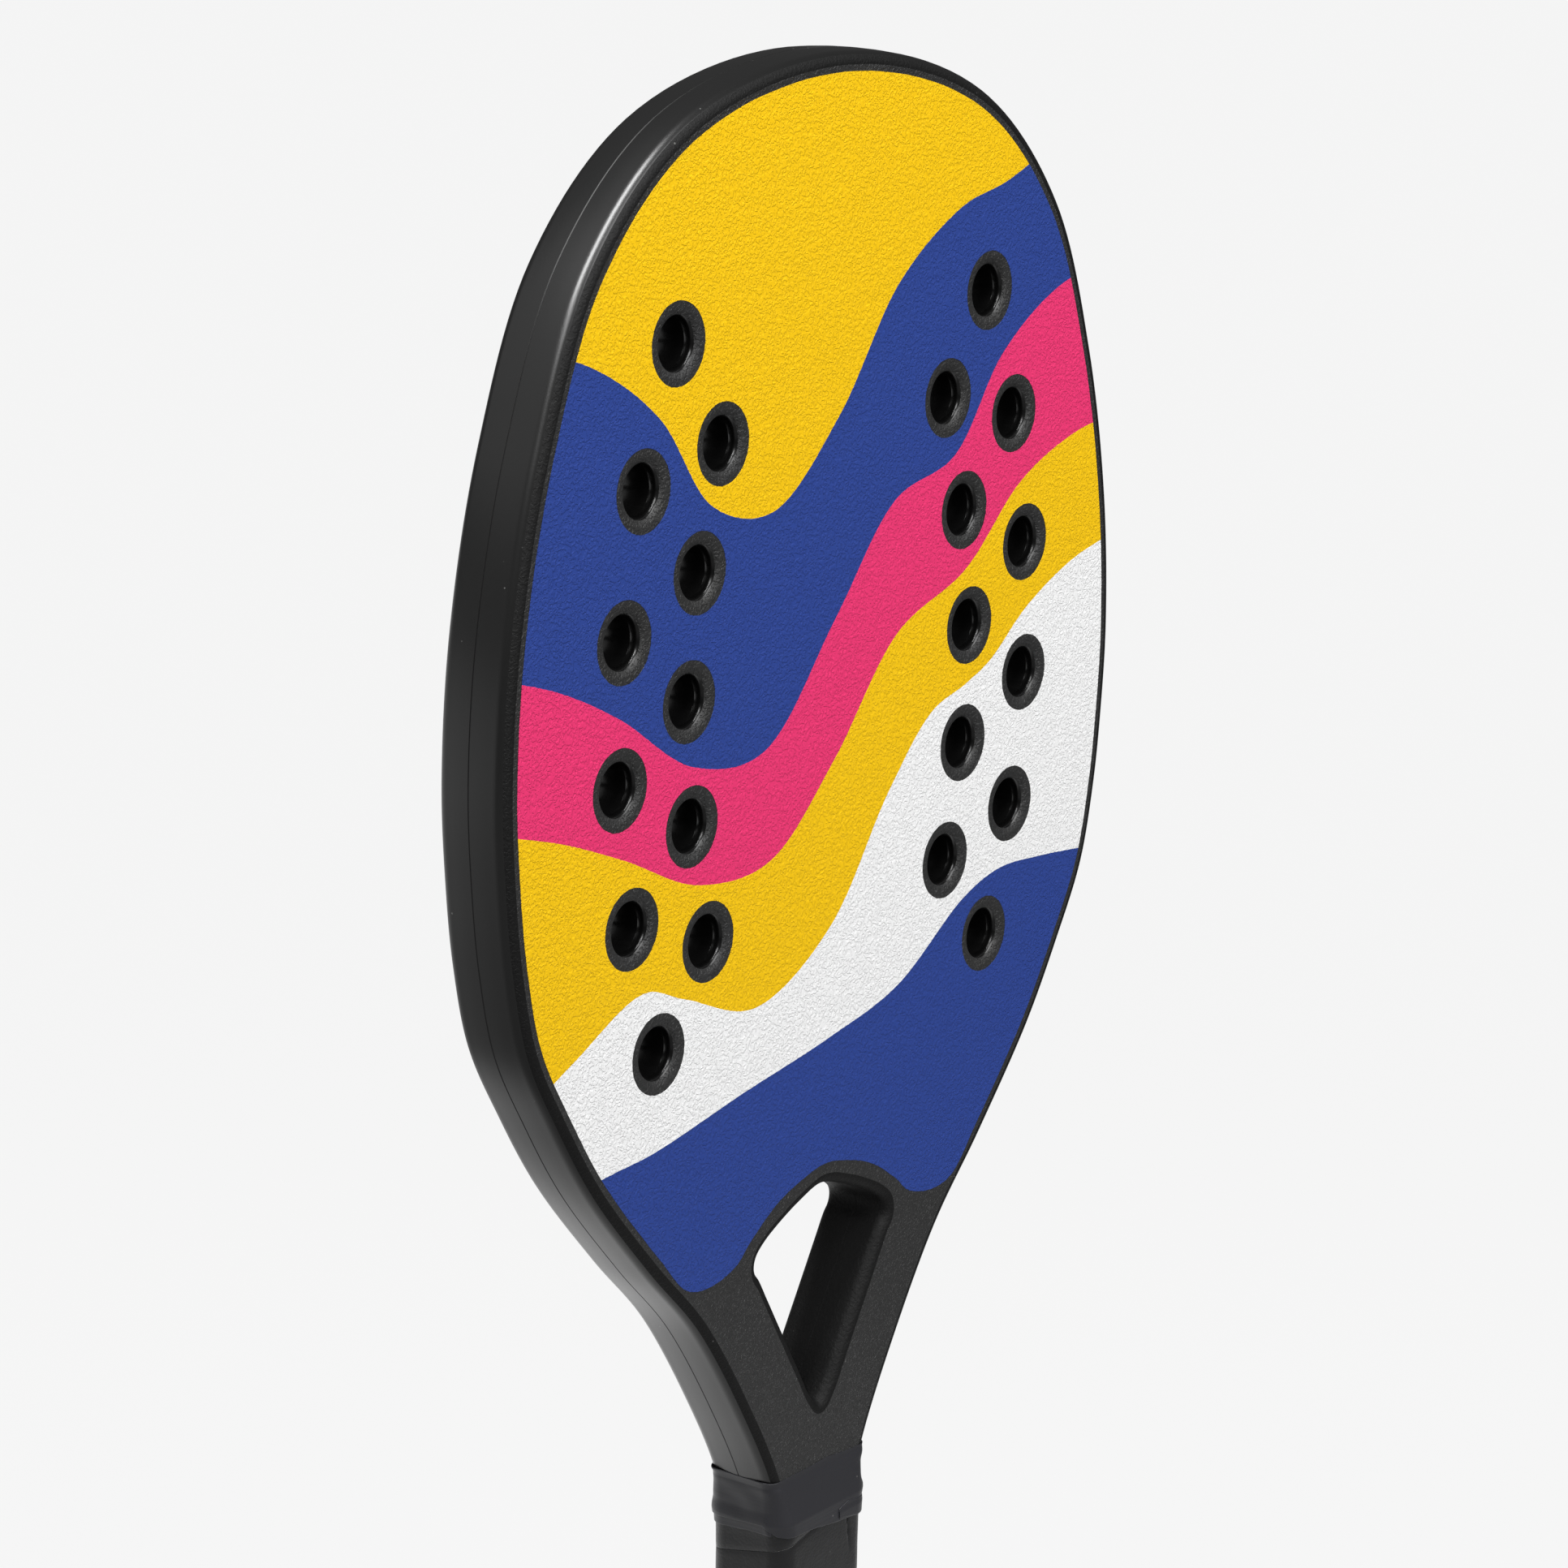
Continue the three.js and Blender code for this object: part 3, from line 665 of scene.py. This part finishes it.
# Soft PVC: off a lightly blasted tool, a dull deep black that is rubbed paler along its rim.
# The tool's grit is drawn coarse enough to show.
soft_pvc, tree, shader, place = new_finish("soft black PVC")
tree.links.new(worn(tree, "#202021", place, "#4C4C4C", 0.5), shader.inputs["Base Color"])
micro = put(tree, "TexNoise", {"Vector": place, "Scale": 1 / (pvc_grit * mm), "Detail": 3.0})
tree.links.new(put(tree, "Bump", {"Height": micro.outputs["Fac"], "Distance": pvc_grit_depth * mm,
                                  "Strength": 1.0}).outputs["Normal"], shader.inputs["Normal"])
shader.inputs["Roughness"].default_value = 0.5
dress(cap, soft_pvc)
smooth(cap, cap_crease)
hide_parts("butt_cap")
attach(cap, "root")

# Grip tape: one strip of foam-backed polyurethane, wound up the handle with its edges butted.
# It starts against the cap's rim and its top turn is cut level under the finishing band.
tape_width, tape_pitch, tape_thickness, tape_turns = 23.97, 24, 1.8, 7
tape_top, tape_edge, tape_roll, tape_lead = 130.4, 0.12, 0.08, 22
tape_steps, tape_rows, tape_felt_gap = 240 * tape_turns, 14, 0.1
tape_roll_power, tape_waver, waver_pace, tape_lowest, grip_crease = 12, 0.12, 5, 0.1, 45
fold_top, fold_foot, fold_width, fold_depth = (9.6, 124.2), (11.0, 115.5), 0.5, 0.4
fold_fade = 6
pore_gap, rumple_size, pore_depth = 0.7, 6.25, 0.12
way_steps, way_reach, way_height = 720, 1, 60
fine_turns = [2 * math.pi * i / way_steps for i in range(way_steps + 1)]
way = [0.0]
for a, b in zip(fine_turns, fine_turns[1:]):
    step = on_handle(b, way_reach, way_height) - on_handle(a, way_reach, way_height)
    way.append(way[-1] + step.length)


def turn_at(share):
    """Direction at a share of the way round the handle, from its right side."""
    far = share % 1 * way[-1]
    i = next(k for k in range(way_steps) if way[k + 1] >= far)
    part = (far - way[i]) / (way[i + 1] - way[i])
    return fine_turns[i] + part * (fine_turns[i + 1] - fine_turns[i])


bpy.ops.object.select_all(action="DESELECT")
bpy.ops.mesh.primitive_grid_add(x_subdivisions=tape_steps, y_subdivisions=tape_rows, size=2)
grip = bpy.context.object
grip.name = "wound_grip_tape"
for vertex in grip.data.vertices:
    along, across = (vertex.co.x + 1) / 2 * tape_turns, vertex.co.y
    z = shell_foot - tape_width / 2 - tape_lead + tape_pitch * along + across * tape_width / 2
    reach = grip_reach - tape_roll * abs(across) ** tape_roll_power
    reach -= tape_waver * (0.5 + 0.5 * noise.noise(Vector((along * waver_pace, across, 0))))
    spot = on_handle(turn_at(along), reach, max(z, tape_lowest))
    down = (fold_top[1] - z) / (fold_top[1] - fold_foot[1])
    if spot.y < 0 and 0 < down < 1:
        aside = spot.x / mm - fold_top[0] - (fold_foot[0] - fold_top[0]) * down
        spot.y += fold_depth * mm * max(1 - abs(aside) / fold_width, 0) * (1 - down ** fold_fade)
    vertex.co = (spot.x, spot.y, z * mm)
thick = grip.modifiers.new("thickness", "SOLIDIFY")
thick.thickness, thick.offset = (tape_thickness - tape_felt_gap) * mm, -1
bpy.ops.object.modifier_apply(modifier=thick.name)
soft = grip.modifiers.new("edges", "BEVEL")
soft.width, soft.segments, soft.limit_method, soft.angle_limit = tape_edge * mm, 3, "ANGLE", 1.0
bpy.ops.object.modifier_apply(modifier=soft.name)
bpy.ops.object.mode_set(mode="EDIT")
for level, side in ((shell_foot, 1), (tape_top, -1)):
    bpy.ops.mesh.select_all(action="SELECT")
    bpy.ops.mesh.bisect(plane_co=(0, 0, level * mm), plane_no=(0, 0, side),
                        use_fill=True, clear_inner=True, threshold=weld)
bpy.ops.object.mode_set(mode="OBJECT")
# Grip polyurethane: a tacky film over felt, dull black with fine pores and a soft sheen
grip_pu, tree, shader, place = new_finish("tacky black polyurethane")
pores = put(tree, "TexVoronoi", {"Vector": place, "Scale": 1 / (pore_gap * mm)})
rumple = put(tree, "TexNoise", {"Vector": place, "Scale": 1 / (rumple_size * mm), "Detail": 4.0})
height = put(tree, "Math", {0: pores.outputs["Distance"], 1: 0.25, 2: rumple.outputs["Fac"]},
             operation="MULTIPLY_ADD")
tree.links.new(put(tree, "Bump", {"Height": height.outputs[0], "Distance": pore_depth * mm,
                                  "Strength": 1.0}).outputs["Normal"], shader.inputs["Normal"])
tree.links.new(worn(tree, "#131314", place, "#343434", 0.3), shader.inputs["Base Color"])
shader.inputs["Roughness"].default_value = 0.42
dress(grip, grip_pu)
smooth(grip, grip_crease)
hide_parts("grip_tape")
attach(grip, "root")

# Finishing band: a stretched ring of thin black elastomer that holds down the top of the grip.
# It lies tight on the neck, sags in creases over the end of the grip, and its loose ends show:
# one peeps out under its left side, the other laps over its foot on the right.
band_skin, layer_skin, layer_gap, band_slope = 0.42, 0.3, 0.08, 10.5
band_edge, band_crease = 0.12, 50
fray_reach, fray_pace, fray_apart, fray_power = 0.1, 9, 3, 4
right_half_angle, right_ease = 40, 12
right_dip, dip_height, dip_spread, dip_core = 0.45, 135.5, 3, 1.5
right_bulge, bulge_height, bulge_spread, bulge_core = 0.25, 130.3, 1.6, 1.4
lap_span, lap_top, lap_fade = (135, 12, 206, 6), 134, 3
band_sag, sag_rest, sag_pace, sag_height, sag_fade = 0.16, 0.3, 3, 5, 4
top_thin, thin_fade = 0.27, 3
curl, curl_span, curl_drop, curl_fade, curl_pace = 0.38, (140, 8, 170, 12), 1.6, 1.4, 4
curl_even, curl_ragged = 0.6, 0.8
droop, droop_start, droop_ease, droop_top, droop_fade = 0.4, 198, 7, 129.5, 2
over_skin, over_gap, over_lift, lift_top, lift_fade = 0.2, 0.12, 0.2, 128.6, 1.5
stretch_width, stretch_length, stretch_depth = 0.714, 16.7, 0.03
band_top_edge = [(0, 141.4), (60, 142.2), (150, 143.0), (198, 142.7), (206, 142.4), (240, 142.4),
                 (290, 142.7), (332, 141.5), (360, 141.4)]
band_foot_edge = [(0, 124.0), (30, 125.0), (90, 127.0), (150, 129.0), (180, 129.8),
                  (198, 130.2), (204, 128.6), (209, 127.5), (216, 127.0), (242, 126.5),
                  (288, 125.0), (330, 124.0), (360, 124.0)]
under_edges = ([(140, 132.5), (200, 132.5), (205, 129.5)],
               [(140, 126.2), (169, 127.0), (186, 127.5), (205, 127.6)])
over_edges = ([(292, 128.3), (306, 129.5), (318, 128.8), (345, 127.5), (390, 126.0)],
              [(292, 125.6), (300, 125.3), (314, 124.4), (330, 124.0), (390, 123.0)])


def edge_height(edge, degrees):
    """Height of an edge of the band at a place round the handle."""
    for (a, low), (b, high) in zip(edge, edge[1:]):
        if degrees <= b:
            return low + (high - low) * max(degrees - a, 0) / (b - a)
    return edge[-1][1]


def eased(share):
    """A share from 0 to 1 that leaves and arrives softly."""
    share = min(max(share, 0), 1)
    return share * share * (3 - 2 * share)


def within(degrees, span):
    """A share that rises from 0 to 1 after the start of a span and falls again before its end."""
    start, rise, end, fall = span
    return eased((degrees - start) / rise) * eased((end - degrees) / fall)


def slope_reach(z):
    """How far what is under the band stands off: the tape's end, and a slope up to the neck."""
    return grip_reach * (1 - min(max((z - tape_top) / band_slope, 0), 1))


def band_reach(degrees, z):
    """How far the band's outside stands off the handle."""
    turn = math.radians(degrees)
    reach = band_skin + slope_reach(z)
    right = eased((right_half_angle - abs((degrees + 180) % 360 - 180)) / right_ease)
    reach -= right_dip * right * eased(dip_core - abs(z - dip_height) / dip_spread)
    reach += right_bulge * right * eased(bulge_core - abs(z - bulge_height) / bulge_spread)
    left = within(degrees, lap_span)
    reach += layer_skin * left * eased((lap_top - z) / lap_fade)
    ring = Vector((sag_pace * math.cos(turn), sag_pace * math.sin(turn), 0))
    sag = noise.noise(ring + Vector((0, 0, z / sag_height)))
    low = edge_height(band_top_edge, degrees) - z
    reach += band_sag * (sag_rest + left) * sag * eased(low / sag_fade)
    reach -= top_thin * eased(1 - low / thin_fade)
    lift = eased((curl_drop - low) / curl_fade)
    lift *= curl_even + curl_ragged * noise.noise(ring * curl_pace)
    return reach + curl * within(degrees, curl_span) * lift


def under_reach(degrees, z):
    """How far the end under the band stands off: it lies on the tape and its tip hangs loose."""
    loose = eased((degrees - droop_start) / droop_ease) * eased((droop_top - z) / droop_fade)
    return slope_reach(z) + layer_skin + droop * loose


def over_reach(degrees, z):
    """How far the end over the band stands off: it lies on the band and lifts at its foot."""
    under_it = max(band_reach(degrees % 360, z), grip_reach + layer_skin)
    return under_it + over_gap + over_lift * eased((lift_top - z) / lift_fade)


def wrapped(name, across, down, top, foot, reach_at, thickness):
    """A layer of the band: a sheet wrapped round the handle between two edges, made thick."""
    bpy.ops.object.select_all(action="DESELECT")
    bpy.ops.mesh.primitive_grid_add(x_subdivisions=across, y_subdivisions=down, size=2)
    layer = bpy.context.object
    layer.name = name
    first, last = top[0][0], top[-1][0]
    for vertex in layer.data.vertices:
        degrees = first + (last - first) * (vertex.co.x + 1) / 2
        low, high = edge_height(foot, degrees), edge_height(top, degrees)
        z = low + (high - low) * (vertex.co.y + 1) / 2
        turn = math.radians(degrees)
        place = Vector((math.cos(turn), math.sin(turn), fray_apart * vertex.co.y))
        z += fray_reach * noise.noise(place * fray_pace) * abs(vertex.co.y) ** fray_power
        vertex.co = on_handle(turn, reach_at(degrees, z), z)
    bpy.ops.object.mode_set(mode="EDIT")
    bpy.ops.mesh.select_all(action="SELECT")
    bpy.ops.mesh.remove_doubles(threshold=weld)
    bpy.ops.object.mode_set(mode="OBJECT")
    thick = layer.modifiers.new("thickness", "SOLIDIFY")
    thick.thickness, thick.offset = thickness * mm, -1
    bpy.ops.object.modifier_apply(modifier=thick.name)
    soft = layer.modifiers.new("edges", "BEVEL")
    soft.width, soft.segments, soft.limit_method, soft.angle_limit = band_edge * mm, 2, "ANGLE", 1.0
    bpy.ops.object.modifier_apply(modifier=soft.name)
    return layer


band = wrapped("stretched_finishing_band", top=band_top_edge, foot=band_foot_edge,
               across=300, down=56, reach_at=band_reach, thickness=band_skin - layer_gap)
under = wrapped("under", top=under_edges[0], foot=under_edges[1],
                across=90, down=14, reach_at=under_reach, thickness=layer_skin - layer_gap)
over = wrapped("over", top=over_edges[0], foot=over_edges[1],
               across=110, down=12, reach_at=over_reach, thickness=over_skin)
for layer in (under, over, band):
    layer.select_set(True)
bpy.context.view_layer.objects.active = band
bpy.ops.object.join()
# Elastomer: stretched TPU film, satin black with fine stretch lines round the neck.
# The lines are drawn wide enough to show.
band_tpu, tree, shader, place = new_finish("stretched black elastomer")
along_line, across_line = 1 / (stretch_length * mm), 1 / (stretch_width * mm)
lines = put(tree, "Mapping", {"Vector": place, "Scale": (along_line, along_line, across_line)})
stretch = put(tree, "TexNoise", {"Vector": lines.outputs[0], "Scale": 1.0, "Detail": 4.0})
tree.links.new(put(tree, "Bump", {"Height": stretch.outputs["Fac"], "Distance": stretch_depth * mm,
                                  "Strength": 1.0}).outputs["Normal"], shader.inputs["Normal"])
tree.links.new(worn(tree, "#242428", place, "#404044", 0.3), shader.inputs["Base Color"])
shader.inputs["Roughness"].default_value = 0.42
dress(band, band_tpu)
smooth(band, band_crease)
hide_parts("finishing_band")
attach(band, "root")

# Floor: one wide sheet of pale paper that lies flat under the racket and runs away behind it.
# To the camera it is mostly its own colour, and round the racket's foot it keeps a faint shadow.
stage_white = "#F5F5F5"
floor_side, fibre_size, fibre_depth = 16, 1.11, 0.02
glow_middle = (0.1, 0.15, 0.0)
bpy.ops.object.select_all(action="DESELECT")
bpy.ops.mesh.primitive_plane_add(size=floor_side)
floor = bpy.context.object
floor.name = "floor"
# Studio paper: uncoated pulp off a roll, an even dull white. Its fibres are drawn coarse enough to
# show. To the racket it glows with painted light, brightest in the middle and more towards the
# back.
paper, tree, shader, place = new_finish("pale studio paper")
fibre = put(tree, "TexNoise", {"Vector": place, "Scale": 1 / (fibre_size * mm), "Detail": 2.0})
tree.links.new(put(tree, "Bump", {"Height": fibre.outputs["Fac"], "Distance": fibre_depth * mm,
                                  "Strength": 1.0}).outputs["Normal"], shader.inputs["Normal"])
shader.inputs["Base Color"].default_value = linear(stage_white)
shader.inputs["Roughness"].default_value = 0.9
seen = put(tree, "LightPath").outputs["Is Camera Ray"]
away = put(tree, "VectorMath", {0: place}, operation="LENGTH").outputs["Value"]
own = put(tree, "MapRange", {"Value": away, "From Min": 0.3, "From Max": 1.2, "To Min": 0.975})
# Painted light: the racket sees the floor glow, brightest round a middle point and growing towards
# the back.
middle = put(tree, "VectorMath", {0: place, 1: glow_middle}, operation="DISTANCE")
painted_pool = put(tree, "MapRange", {"Value": middle.outputs["Value"], "From Min": 0.1,
                               "From Max": 0.4, "To Min": 1.5, "To Max": 0.0})
side = put(tree, "MapRange", {"Value": put(tree, "SeparateXYZ", {0: place}).outputs["Y"],
                              "From Min": 0.1, "From Max": 1.0, "To Min": 0.06, "To Max": 0.85})
lit = put(tree, "Math", {0: painted_pool.outputs[0], 1: side.outputs[0]}, operation="MAXIMUM")
level = put(tree, "Mix", {0: seen, 2: lit.outputs[0], 3: 0.995})
glow = put(tree, "Emission", {"Color": linear(stage_white), "Strength": level.outputs[0]})
share = put(tree, "Mix", {0: seen, 2: 0.9, 3: own.outputs[0]})
both = put(tree, "MixShader", {0: share.outputs[0], 1: shader.outputs[0], 2: glow.outputs[0]})
tree.links.new(both.outputs[0], tree.nodes["Material Output"].inputs["Surface"])
dress(floor, paper)

# World: the paper's own colour to the camera, and nearly dark to the racket
world = bpy.data.worlds.new("studio")
bpy.context.scene.world = world
world.use_nodes = True
tree = world.node_tree
light_path = put(tree, "LightPath")
seen = put(tree, "Math", {0: light_path.outputs["Is Camera Ray"],
                          1: light_path.outputs["Is Transmission Ray"]}, operation="MAXIMUM")
level = put(tree, "MapRange", {"Value": seen.outputs[0], "To Min": 0.06, "To Max": 1.0})
tree.links.new(level.outputs[0], tree.nodes["Background"].inputs["Strength"])
tree.nodes["Background"].inputs["Color"].default_value = linear(stage_white)

# Lights: a large soft box high in front of the face, a strip overhead that draws the streak along
# the shell's upper edge, a small box on the left that glints in the holes, and a dim one behind it.
# The floor's painted glow lights the undersides.
aim_height = 0.32
soft_boxes = [
    ("front", (0.0, -1.8, 1.8), (2.0, 2.0), 66.0),
    ("overhead", (-0.65, 0.0, 1.8), (0.5, 1.2), 50.0),
    ("left front", (-1.4, -0.5, 1.58), (0.6, 0.6), 9.0),
    ("left rear", (-1.25, 1.16, 1.5), (1.6, 1.6), 4.0),
]
for name, place, (width, height), power in soft_boxes:
    aim = Vector((0, 0, aim_height)) - Vector(place)
    turn = aim.to_track_quat("-Z", "Y").to_euler()
    bpy.ops.object.light_add(type="AREA", location=place, rotation=turn)
    lamp = bpy.context.object
    lamp.name = name
    lamp.data.shape, lamp.data.size, lamp.data.size_y = "RECTANGLE", width, height
    lamp.data.energy = power

bpy.context.scene.view_settings.view_transform = "Standard"
